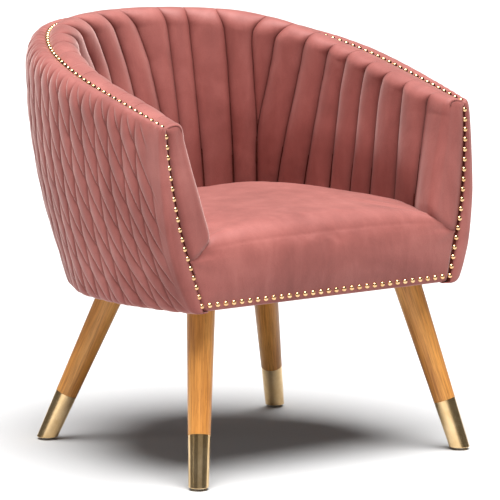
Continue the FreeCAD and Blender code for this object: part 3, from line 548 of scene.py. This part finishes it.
def build_seat():
    nu, nv = 150, 110
    u = np.linspace(0, 1, nu)
    v = np.linspace(0, 1, nv)
    u = 0.5 * u + 0.5 * (1 - np.cos(np.pi * u)) / 2
    v = 0.6 * v + 0.4 * (1 - np.cos(np.pi * v)) / 2
    s_c = 0.40
    s_f = 1.0 - RIDGE_R / RIM_LEN
    L = seat_outline(-s_f + (s_f - s_c) * v)
    Rr = seat_outline(s_f - (s_f - s_c) * v)
    Bk = seat_outline(-s_c + 2 * s_c * u)
    F0, F1 = L[0], Rr[0]
    xf = F0[0] + (F1[0] - F0[0]) * u
    zr = 455.0 - 13.0 * np.abs(2 * u - 1) ** 2.6
    Fr = np.stack([xf, front_y(zr) + RIDGE_R, np.full_like(u, F0[2])], -1)
    U, Vv = u[:, None, None], v[None, :, None]
    P = ((1 - U) * L[None] + U * Rr[None] + (1 - Vv) * Fr[:, None] + Vv * Bk[:, None]
         - ((1 - U) * (1 - Vv) * F0 + U * (1 - Vv) * F1 + (1 - U) * Vv * L[-1] + U * Vv * Rr[-1]))
    # distance from the padded walls
    so = np.linspace(-s_f, s_f, 500)
    C = seat_outline(so)[:, :2]
    XY = P[..., :2].reshape(-1, 2)
    dist = np.empty(len(XY))
    for i in range(0, len(XY), 4000):
        q = XY[i:i + 4000]
        dist[i:i + 4000] = np.sqrt(((q[:, None] - C[None]) ** 2).sum(-1).min(1))
    dist = dist.reshape(nu, nv)
    crown = -9.0 + 14.0 * (1 - np.exp(-dist / 13.0)) + 9.5 * (1 - np.exp(-dist / 95.0))
    z_in = P[..., 2] + crown
    # the front ridge takes over near the front edge
    yb = P[..., 1] - P[:, :1, 1]
    wr = np.exp(-(yb / 46.0) ** 2)
    ridge = np.repeat(zr[:, None], nv, 1)
    side = smooth(dist / 26.0)
    z_mix = z_in * (1 - wr) + (ridge - 5.0 * (1 - side)) * wr
    P[..., 2] = z_mix
    uneven = 0.35 * vnoise(P[..., 0] / 90.0, P[..., 1] / 90.0, 9.0) + 0.2 * vnoise(P[..., 0] / 33.0, P[..., 1] / 33.0, 10.0)
    P[..., 2] += uneven * smooth(dist / 40.0)
    # waterfall and front face
    rows = []
    ztop = P[:, 0, 2].copy()
    y0 = P[:, 0, 1].copy()
    x0 = P[:, 0, 0].copy()
    tuck = (1 - smooth(np.minimum(u, 1 - u) / 0.018))
    a_n = 12
    fr = (u - 0.5) * 2
    for i in range(1, a_n + 1):
        th = 0.5 * np.pi * i / a_n
        z = ztop - RIDGE_R * (1 - np.cos(th)) * 1.0
        y = front_y(z) + RIDGE_R - RIDGE_R * np.sin(th)
        wx = np.interp(z, [396, 402, 411, 427, 443, 470], [303.5, 301.0, 283.5, 265.0, 252.0, 250.0]) + 5.0
        k = smooth(1.4 * i / a_n)
        rows.append((x0 * (1 - k) + fr * np.maximum(wx, np.abs(x0[0])) * k, y, z))
    zf = np.concatenate([np.linspace(0, 1, 46)[1:]])
    zb0 = 322.5
    for f in zf:
        z = rows[11][2] + (zb0 - rows[11][2]) * f
        # half width of the front: the crease against the arm, then the nail line
        wx = np.where(z > 400.0, np.interp(z, [396, 402, 411, 427, 443, 470], [303.5, 301.0, 283.5, 265.0, 252.0, 250.0]), post_x(z) - 1.2)
        x = fr * (wx + 5.0 * smooth((z - 396.0) / 10.0))
        belly = 5.0 * np.sin(np.pi * np.clip(f, 0, 1)) ** 0.7 * (1 - np.abs(fr) ** 6)
        y = front_y(z) - belly
        rows.append((x, y, z))
    for dz, dy in ((-3.5, 0.3), (-7.0, 0.8), (-9.5, 2.6), (-11.0, 6.0), (-11.4, 12.0), (-11.4, 24.0)):
        z = np.full_like(u, zb0 + dz)
        x = fr * (post_x(z) - 1.2 + 0.2 * dz)
        rows.append((x, front_y(z) + dy, z))
    Fp = np.stack([np.stack(r, -1) for r in rows], 1)             # (nu, rows, 3)
    # side edges are drawn in against the arm fronts and behind the nails
    edge_in = (1 - smooth(np.minimum(u, 1 - u) * 620.0 / 9.0))[:, None]
    Fp[..., 1] += edge_in * 3.5
    P = np.concatenate([Fp[:, ::-1], P], 1) * 0.001
    return P


# ------------------------------------------------------------------ cloth simulation of the padded covers
def inflate(name, P, pins, cap, pressure, flip, stiff):
    """Blow the cover up against its pinned seams with Cloth, 20 frames; returns P plus the capped displacement."""
    nu, nv = P.shape[:2]
    iu = np.unique(np.r_[0, 1:nu:2, nu - 1])
    iv = np.unique(np.r_[0:nv:2, nv - 1])
    Pc = P[np.ix_(iu, iv)]
    ob = grid_object(name, Pc, 0.0, flip=flip)
    grp = ob.vertex_groups.new(name="pin")
    held = np.nonzero(pins[np.ix_(iu, iv)].reshape(-1))[0]
    grp.add(held.tolist(), 1.0, "REPLACE")
    md = ob.modifiers.new("cloth", "CLOTH")
    st = md.settings
    st.quality = 6
    st.mass = 0.3
    st.tension_stiffness = st.compression_stiffness = stiff
    st.shear_stiffness = stiff * 0.5
    st.bending_stiffness = 1.5
    st.vertex_group_mass = "pin"
    st.use_pressure = True
    st.uniform_pressure_force = pressure
    st.effector_weights.gravity = 0.0
    md.collision_settings.use_collision = False
    md.point_cache.frame_start, md.point_cache.frame_end = 1, 20
    sc = bpy.context.scene
    for f in range(1, 21):
        sc.frame_set(f)
    ev = ob.evaluated_get(bpy.context.evaluated_depsgraph_get())
    co = np.empty(len(ev.data.vertices) * 3, np.float32)
    ev.data.vertices.foreach_get("co", co)
    D = co.reshape(Pc.shape).astype(float) - Pc
    D = np.nan_to_num(D)
    ln = np.linalg.norm(D, axis=-1, keepdims=True)
    D = D * (cap * np.tanh(ln / cap) / np.maximum(ln, 1e-9))
    me = ob.data
    bpy.data.objects.remove(ob)
    bpy.data.meshes.remove(me)
    sc.frame_set(1)
    full = np.empty((nu, len(iv), 3))
    for c in range(3):
        for j in range(len(iv)):
            full[:, j, c] = np.interp(np.arange(nu), iu, D[:, j, c])
    out = np.empty((nu, nv, 3))
    for c in range(3):
        for i in range(nu):
            out[i, :, c] = np.interp(np.arange(nv), iv, full[i, :, c])
    for _ in range(3):
        out[1:-1, 1:-1] = 0.5 * out[1:-1, 1:-1] + 0.125 * (out[2:, 1:-1] + out[:-2, 1:-1] + out[1:-1, 2:] + out[1:-1, :-2])
    print("inflate", name, "mean mm", round(float(ln.mean()) * 1000, 2), "max mm", round(float(ln.max()) * 1000, 2))
    return P + out


# ------------------------------------------------------------------ materials
def mat(name):
    m = bpy.data.materials.new(name)
    m.use_nodes = True
    nt = m.node_tree
    for n in list(nt.nodes):
        nt.nodes.remove(n)
    out = nt.nodes.new("ShaderNodeOutputMaterial")
    sh = nt.nodes.new("ShaderNodeBsdfPrincipled")
    nt.links.new(sh.outputs["BSDF"], out.inputs["Surface"])
    return m, nt, sh


def node(nt, kind, **kw):
    n = nt.nodes.new(kind)
    for k, v in kw.items():
        setattr(n, k, v)
    return n


def noise(nt, vec, scale, detail=3.0, rough=0.55, dist=0.0):
    n = node(nt, "ShaderNodeTexNoise")
    n.inputs["Scale"].default_value = scale
    n.inputs["Detail"].default_value = detail
    n.inputs["Roughness"].default_value = rough
    n.inputs["Distortion"].default_value = dist
    nt.links.new(vec, n.inputs["Vector"])
    return n.outputs["Fac"]


def mapping(nt, vec, scale=(1, 1, 1), rot=(0, 0, 0)):
    n = node(nt, "ShaderNodeMapping")
    n.inputs["Scale"].default_value = scale
    n.inputs["Rotation"].default_value = rot
    nt.links.new(vec, n.inputs["Vector"])
    return n.outputs["Vector"]


def ramp(nt, fac, stops):
    n = node(nt, "ShaderNodeValToRGB")
    cr = n.color_ramp
    while len(cr.elements) < len(stops):
        cr.elements.new(0.5)
    for e, (p, c) in zip(cr.elements, stops):
        e.position = p
        e.color = (*c, 1.0) if len(c) == 3 else c
    nt.links.new(fac, n.inputs["Fac"])
    return n.outputs["Color"]


def mix(nt, fac, a, b, mode="MIX"):
    n = node(nt, "ShaderNodeMix", data_type="RGBA", blend_type=mode)
    for sock, val in ((n.inputs[0], fac), (n.inputs[6], a), (n.inputs[7], b)):
        if hasattr(val, "is_linked"):
            nt.links.new(val, sock)
        else:
            sock.default_value = val if isinstance(val, (int, float)) else (*val, 1.0)
    return n.outputs[2]


def bump(nt, sh, height, strength, distance, prev=None):
    n = node(nt, "ShaderNodeBump")
    n.inputs["Strength"].default_value = strength
    n.inputs["Distance"].default_value = distance
    nt.links.new(height, n.inputs["Height"])
    if prev is not None:
        nt.links.new(prev, n.inputs["Normal"])
    nt.links.new(n.outputs["Normal"], sh.inputs["Normal"])
    return n.outputs["Normal"]


def velvet(name, dark, mid, light, seed=0.0):
    m, nt, sh = mat(name)
    tc = node(nt, "ShaderNodeTexCoord").outputs["Object"]
    big = noise(nt, mapping(nt, tc, (1.0 + seed, 1, 1.15)), 5.5, 3.0, 0.6, 0.6)
    brushed = noise(nt, mapping(nt, tc, (9.0, 9.0, 2.6)), 3.0, 4.0, 0.6, 0.3)
    col = ramp(nt, big, [(0.30, dark), (0.50, mid), (0.72, light)])
    col2 = ramp(nt, brushed, [(0.32, dark), (0.52, mid), (0.72, light)])
    col = mix(nt, 0.38, col, col2)
    pile = noise(nt, tc, 1400.0, 2.0, 0.6)
    speck = ramp(nt, pile, [(0.35, (0.86, 0.86, 0.86)), (0.65, (1.10, 1.10, 1.10))])
    col = mix(nt, 1.0, col, speck, "MULTIPLY")
    # painted shade: the crease mask multiplies the base colour down to near-black red in seams, pleat lines and
    # nail-line valleys
    painted_shade_mask = node(nt, "ShaderNodeAttribute", attribute_name="painted_crease_shade").outputs["Fac"]
    deep_painted_shade = ramp(nt, painted_shade_mask, [(0.0, (1.0, 1.0, 1.0)), (1.0, (0.20, 0.12, 0.10))])
    col = mix(nt, 1.0, col, deep_painted_shade, "MULTIPLY")
    nt.links.new(col, sh.inputs["Base Color"])
    rgh = ramp(nt, big, [(0.3, (0.66, 0.66, 0.66)), (0.7, (0.54, 0.54, 0.54))])
    nt.links.new(rgh, sh.inputs["Roughness"])
    sh.inputs["Specular IOR Level"].default_value = 0.36
    # painted shade: sheen is turned down along the same mask so the creases stay dark
    crease_sheen_cut = ramp(nt, painted_shade_mask, [(0.0, (0.58, 0.58, 0.58)), (0.22, (0.10, 0.10, 0.10)), (0.6, (0.0, 0.0, 0.0))])
    nt.links.new(crease_sheen_cut, sh.inputs["Sheen Weight"])
    sh.inputs["Sheen Roughness"].default_value = 0.45
    sh.inputs["Sheen Tint"].default_value = (1.0, 0.76, 0.71, 1.0)
    weave = noise(nt, mapping(nt, tc, (1, 1, 1)), 620.0, 3.0, 0.6)
    prev = bump(nt, sh, weave, 0.28, 0.0006)
    crush = noise(nt, mapping(nt, tc, (1, 1, 0.8)), 26.0, 4.0, 0.62, 0.8)
    bump(nt, sh, crush, 0.22, 0.004, prev)
    return m


def wood(name, axis):
    m, nt, sh = mat(name)
    tc = node(nt, "ShaderNodeTexCoord").outputs["Object"]
    q = Vector(axis).normalized().rotation_difference(Vector((0, 0, 1)))
    along = mapping(nt, tc, (1, 1, 1), tuple(q.to_euler("XYZ")))
    fine = noise(nt, mapping(nt, along, (1, 1, 0.035)), 330.0, 5.0, 0.62, 0.2)
    broad = noise(nt, mapping(nt, along, (1, 1, 0.10)), 34.0, 4.0, 0.6, 1.2)
    pores = noise(nt, mapping(nt, along, (1, 1, 0.05)), 900.0, 2.0, 0.5)
    c1 = ramp(nt, broad, [(0.28, (0.430, 0.160, 0.028)), (0.50, (0.600, 0.250, 0.050)), (0.74, (0.720, 0.345, 0.085))])
    c2 = ramp(nt, fine, [(0.36, (0.62, 0.56, 0.50)), (0.56, (1.0, 1.0, 1.0))])
    col = mix(nt, 0.85, c1, c2, "MULTIPLY")
    c3 = ramp(nt, pores, [(0.30, (0.55, 0.48, 0.42)), (0.40, (1.0, 1.0, 1.0))])
    col = mix(nt, 0.55, col, c3, "MULTIPLY")
    nt.links.new(col, sh.inputs["Base Color"])
    rg = ramp(nt, fine, [(0.3, (0.52, 0.52, 0.52)), (0.7, (0.36, 0.36, 0.36))])
    nt.links.new(rg, sh.inputs["Roughness"])
    sh.inputs["Specular IOR Level"].default_value = 0.42
    sh.inputs["Coat Weight"].default_value = 0.18
    sh.inputs["Coat Roughness"].default_value = 0.30
    bump(nt, sh, fine, 0.25, 0.0005)
    return m


def metal(name, base, dark, rough, axis=None, streak=0.0):
    m, nt, sh = mat(name)
    tc = node(nt, "ShaderNodeTexCoord").outputs["Object"]
    vec = tc
    if axis is not None:
        q = Vector(axis).normalized().rotation_difference(Vector((0, 0, 1)))
        vec = mapping(nt, mapping(nt, tc, (1, 1, 1), tuple(q.to_euler("XYZ"))), (1, 1, 0.03))
    st = noise(nt, vec, 900.0 if axis is not None else 260.0, 4.0, 0.7)
    tone = noise(nt, tc, 28.0, 3.0, 0.6)
    col = ramp(nt, tone, [(0.3, dark), (0.7, base)])
    col2 = ramp(nt, st, [(0.35, (0.86, 0.84, 0.80)), (0.65, (1.0, 1.0, 1.0))])
    col = mix(nt, streak, col, col2, "MULTIPLY")
    nt.links.new(col, sh.inputs["Base Color"])
    sh.inputs["Metallic"].default_value = 1.0
    rg = ramp(nt, st, [(0.3, (rough * 0.8,) * 3), (0.7, (rough * 1.25,) * 3)])
    nt.links.new(rg, sh.inputs["Roughness"])
    if axis is not None:
        bump(nt, sh, st, 0.12, 0.0003)
    return m


def plastic(name, col, rough=0.45):
    m, nt, sh = mat(name)
    tc = node(nt, "ShaderNodeTexCoord").outputs["Object"]
    n1 = noise(nt, tc, 420.0, 3.0, 0.6)
    c = ramp(nt, n1, [(0.3, tuple(x * 0.9 for x in col)), (0.7, tuple(min(x * 1.06, 1) for x in col))])
    nt.links.new(c, sh.inputs["Base Color"])
    rg = ramp(nt, n1, [(0.3, (rough * 1.15,) * 3), (0.7, (rough * 0.9,) * 3)])
    nt.links.new(rg, sh.inputs["Roughness"])
    bump(nt, sh, n1, 0.10, 0.0003)
    return m


def lining(name):
    m, nt, sh = mat(name)
    tc = node(nt, "ShaderNodeTexCoord").outputs["Object"]
    fib = noise(nt, mapping(nt, tc, (1, 0.25, 1)), 520.0, 5.0, 0.7, 0.5)
    dots = node(nt, "ShaderNodeTexVoronoi")
    dots.inputs["Scale"].default_value = 420.0
    nt.links.new(tc, dots.inputs["Vector"])
    c = ramp(nt, fib, [(0.3, (0.010, 0.010, 0.011)), (0.7, (0.036, 0.036, 0.038))])
    nt.links.new(c, sh.inputs["Base Color"])
    sh.inputs["Roughness"].default_value = 0.9
    sh.inputs["Specular IOR Level"].default_value = 0.2
    bump(nt, sh, dots.outputs["Distance"], 0.3, 0.0005)
    return m


def seam_shade_material(name):
    """Near-black material put on faces deep in the seam creases: painted shade."""
    m, nt, sh = mat(name)
    tc = node(nt, "ShaderNodeTexCoord").outputs["Object"]
    n1 = noise(nt, tc, 260.0, 3.0, 0.6)
    nt.links.new(ramp(nt, n1, [(0.3, (0.040, 0.008, 0.006)), (0.7, (0.085, 0.018, 0.013))]), sh.inputs["Base Color"])
    sh.inputs["Roughness"].default_value = 0.95
    sh.inputs["Specular IOR Level"].default_value = 0.05
    bump(nt, sh, n1, 0.2, 0.0005)
    return m


VELVET = velvet("velvet", (0.192, 0.042, 0.034), (0.272, 0.070, 0.058), (0.370, 0.114, 0.097))
SEAM_SHADE_MAT = seam_shade_material("velvet_seam_painted_shade")
NAIL = metal("nail_brass", (0.90, 0.60, 0.33), (0.70, 0.42, 0.19), 0.12, None, 0.3)
GLIDE = plastic("glide_plastic", (0.52, 0.51, 0.48), 0.5)
LINING = lining("lining_fabric")
STEEL = metal("steel", (0.62, 0.62, 0.63), (0.48, 0.48, 0.50), 0.35, None, 0.4)
FRAME_WOOD = wood("frame_wood", (1, 0, 0))

LEG_FRONT = (296.5, -265.0, -0.209, 0.264)
LEG_REAR = (266.0, 265.0, -0.326, -0.308)
for part, spec, sx in (("front_left", LEG_FRONT, 1), ("front_right", LEG_FRONT, -1),
                       ("rear_left", LEG_REAR, 1), ("rear_right", LEG_REAR, -1)):
    ax = (sx * spec[2], spec[3], 1.0)
    NODES["leg_" + part].data.materials.clear()
    NODES["leg_" + part].data.materials.append(wood("leg_wood_" + part, ax))
    NODES["ferrule_" + part].data.materials.clear()
    NODES["ferrule_" + part].data.materials.append(
        metal("ferrule_brass_" + part, (0.95, 0.70, 0.40), (0.72, 0.48, 0.22), 0.17, ax, 0.8))
    NODES["glide_" + part].data.materials.clear()
    NODES["glide_" + part].data.materials.append(GLIDE)


def give(name, m):
    NODES[name].data.materials.clear()
    NODES[name].data.materials.append(m)


for n in ("nail_trim_rim", "nail_trim_post_left", "nail_trim_post_right", "nail_trim_seat_front"):
    give(n, NAIL)
for n in ("hanger_bolts", "threaded_inserts", "frame_screws", "seat_springs", "spring_clips"):
    give(n, STEEL)
for n in NODES:
    if n.startswith(("seat_rail", "corner_block", "shell_panel", "top_rail", "back_rib", "side_rib", "arm_rib", "arm_board")):
        give(n, FRAME_WOOD)
give("spring_insulator_pad", LINING)

# ------------------------------------------------------------------ pieces
pts, tone = build_inner()
held = tone > 0.45
held[:28] = held[-28:] = True
held[:, :14] = held[:, -3:] = True
pts = inflate("inner_sim", pts, held, 0.0030, 4.0, True, 12.0)
inner = grid_object("inner_cover", pts, 0.0018, painted_crease_shade=tone)
pts, tone = build_outer()
outer = grid_object("outer_cover", pts, 0.0018, flip=True, painted_crease_shade=tone)
pts = build_seat()
held = np.zeros(pts.shape[:2], bool)
held[:3] = held[-3:] = True
held[:, :9] = held[:, -3:] = True
pts = inflate("seat_sim", pts, held, 0.0060, 4.0, False, 25.0)
seat = grid_object("seat_cover", pts, 0.0018)
for ob in (inner, outer, seat):
    if not ob.data.materials:
        ob.data.materials.append(VELVET)
    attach(ob, "root")
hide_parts("inner_back_pad", "arm_front_pad_left", "arm_front_pad_right")
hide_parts("outer_quilted_cover")
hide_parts("seat_cushion", "seat_front_pad")

# dust cover: black non-woven cloth stretched under the seat frame and stapled all round, with a slight sag between the legs
src = NODES["dust_cover"]
bm = bmesh.new()
bm.from_mesh(src.data)
bm.transform(src.matrix_world)
for axis in (0, 1):
    for k in range(-17, 18):
        co, no = [0.0, 0.0, 0.0], [0.0, 0.0, 0.0]
        co[axis], no[axis] = 0.02 * k, 1.0
        bmesh.ops.bisect_plane(bm, geom=bm.verts[:] + bm.edges[:] + bm.faces[:], dist=1e-6, plane_co=co, plane_no=no)
flat_area = sum(f.calc_area() for f in bm.faces if f.normal.z < -0.9)
for v in bm.verts:
    fx, fy = max(1 - (v.co.x / 0.24) ** 2, 0.0), max(1 - (v.co.y / 0.22) ** 2, 0.0)
    v.co.z -= 0.0042 * fx ** 1.5 * fy ** 1.5
me = bpy.data.meshes.new("dust_cover_cloth")
bm.to_mesh(me)
bm.free()
for poly in me.polygons:
    poly.use_smooth = abs(poly.normal.z) > 0.9
me.materials.append(LINING)
dust = bpy.data.objects.new("dust_cover_cloth", me)
bpy.context.scene.collection.objects.link(dust)
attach(dust, "root")
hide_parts("dust_cover")

# ------------------------------------------------------------------ stage, light
fm = bpy.data.meshes.new("floor")
fm.from_pydata([(-60, -60, -0.0005), (60, -60, -0.0005), (60, 60, -0.0005), (-60, 60, -0.0005)], [], [(0, 1, 2, 3)])
floor = bpy.data.objects.new("floor", fm)
bpy.context.scene.collection.objects.link(floor)
m, nt, sh = mat("floor")
sh.inputs["Base Color"].default_value = (0.52, 0.52, 0.52, 1)
sh.inputs["Roughness"].default_value = 0.9
sh.inputs["Specular IOR Level"].default_value = 0.1
fm.materials.append(m)

world = bpy.data.worlds.new("world")
world.use_nodes = True
world.node_tree.nodes["Background"].inputs["Color"].default_value = (1.0, 1.0, 1.0, 1)
world.node_tree.nodes["Background"].inputs["Strength"].default_value = 0.12
bpy.context.scene.world = world
bpy.context.scene.view_settings.view_transform = "Standard"


def sun(name, direction, strength, angle, color=(1, 1, 1)):
    ld = bpy.data.lights.new(name, "SUN")
    ld.energy = strength
    ld.angle = math.radians(angle)
    ld.color = color
    o = bpy.data.objects.new(name, ld)
    bpy.context.scene.collection.objects.link(o)
    o.rotation_euler = Vector(direction).to_track_quat("-Z", "Y").to_euler()
    return o


sun("top", (0.05, 0.14, -1.0), 8.2, 50)
sun("front", (0.35, 0.90, -0.45), 0.10, 50)
sun("side", (0.85, -0.25, -0.50), 0.24, 30)
